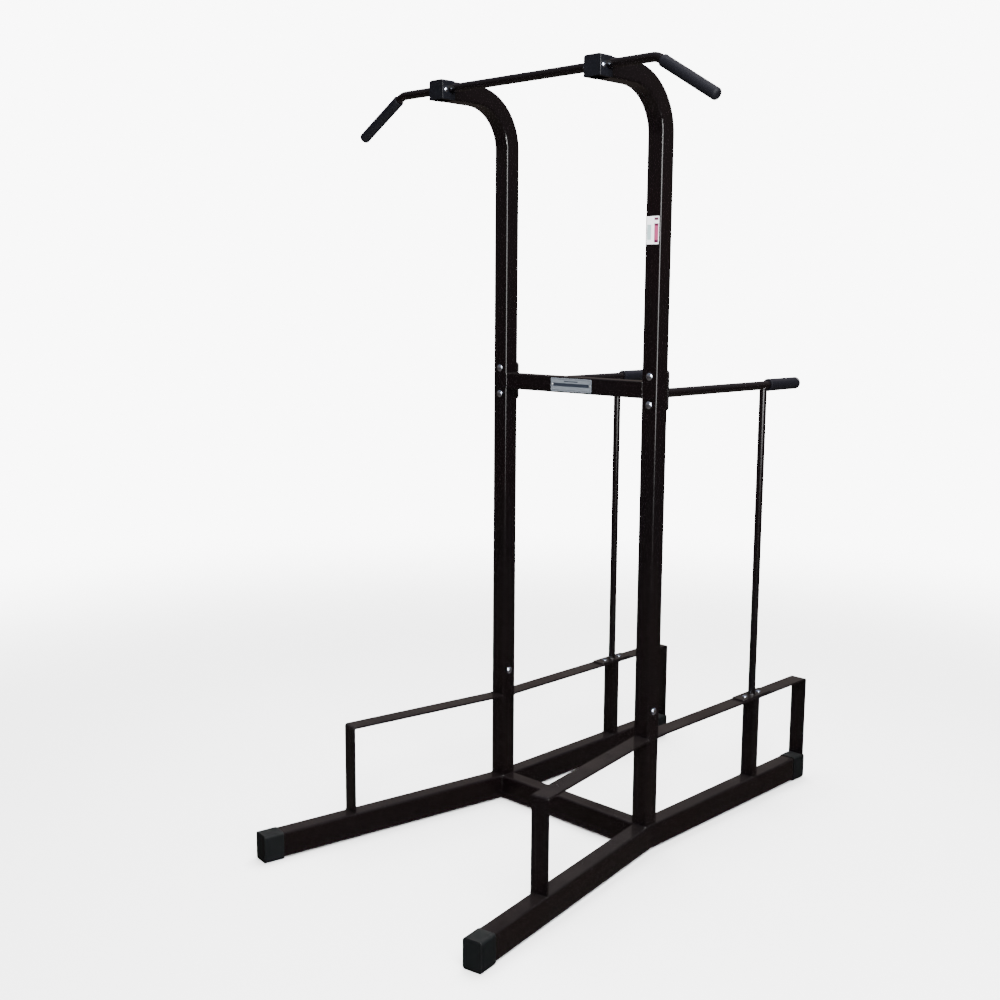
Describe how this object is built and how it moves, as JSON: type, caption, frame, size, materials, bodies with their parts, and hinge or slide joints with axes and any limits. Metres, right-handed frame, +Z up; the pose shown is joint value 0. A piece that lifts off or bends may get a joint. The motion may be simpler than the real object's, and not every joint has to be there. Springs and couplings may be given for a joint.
{
  "type": "power tower",
  "caption": "Free-standing tubular steel gym tower with a wide angled pull-up bar, rear dip bars on support legs, low push-up bars and a splayed base.",
  "frame": {"origin": "floor under the middle of the tower's footprint: midway between its left and right sides, and between its front and rear feet", "axes": "+X across the tower to its right side as seen from the pull-up bar's side, +Y from the pull-up bar towards the dip bars, +Z up"},
  "size_m": [1.2524, 1.61, 2.102],
  "materials": {
    "black_powder_coat": "gloss",
    "grip_rubber": "satin",
    "foot_rubber": "satin",
    "cap_plastic": "satin",
    "zinc_fastener": "polished",
    "nameplate_aluminium": "brushed",
    "rivet_aluminium": "satin",
    "label_vinyl": "gloss"
  },
  "bodies": {
    "root": {"arm_cap_bolts": "zinc_fastener", "arm_cap_nuts": "zinc_fastener", "arm_cap_washers": "zinc_fastener", "base_crossbar": "black_powder_coat", "dip_plate_bolts": "zinc_fastener", "dip_plate_nuts": "zinc_fastener", "dip_plate_washers": "zinc_fastener", "left_arm_cap": "cap_plastic", "left_dip_bar": "black_powder_coat", "left_dip_grip": "grip_rubber", "left_dip_plate": "black_powder_coat", "left_front_foot": "foot_rubber", "left_front_leg": "black_powder_coat", "left_front_push_up_bar": "black_powder_coat", "left_joint_sleeve": "black_powder_coat", "left_leg_flange": "black_powder_coat", "left_middle_post": "black_powder_coat", "left_pull_up_grip": "grip_rubber", "left_rear_foot": "foot_rubber", "left_rear_push_up_bar": "black_powder_coat", "left_rear_rail": "black_powder_coat", "left_support_leg": "black_powder_coat", "left_upright": "black_powder_coat", "left_upright_stub": "black_powder_coat", "leg_flange_bolts": "zinc_fastener", "leg_flange_nuts": "zinc_fastener", "leg_flange_washers": "zinc_fastener", "middle_crossbar": "black_powder_coat", "nameplate": "nameplate_aluminium", "nameplate_rivets": "rivet_aluminium", "pull_up_bar": "black_powder_coat", "right_arm_cap": "cap_plastic", "right_dip_bar": "black_powder_coat", "right_dip_grip": "grip_rubber", "right_dip_plate": "black_powder_coat", "right_front_foot": "foot_rubber", "right_front_leg": "black_powder_coat", "right_front_push_up_bar": "black_powder_coat", "right_joint_sleeve": "black_powder_coat", "right_leg_flange": "black_powder_coat", "right_middle_post": "black_powder_coat", "right_pull_up_grip": "grip_rubber", "right_rear_foot": "foot_rubber", "right_rear_push_up_bar": "black_powder_coat", "right_rear_rail": "black_powder_coat", "right_support_leg": "black_powder_coat", "right_upright": "black_powder_coat", "right_upright_stub": "black_powder_coat", "upright_joint_bolts": "zinc_fastener", "upright_joint_nuts": "zinc_fastener", "upright_joint_washers": "zinc_fastener", "warning_label": "label_vinyl"}
  },
  "joints": []
}
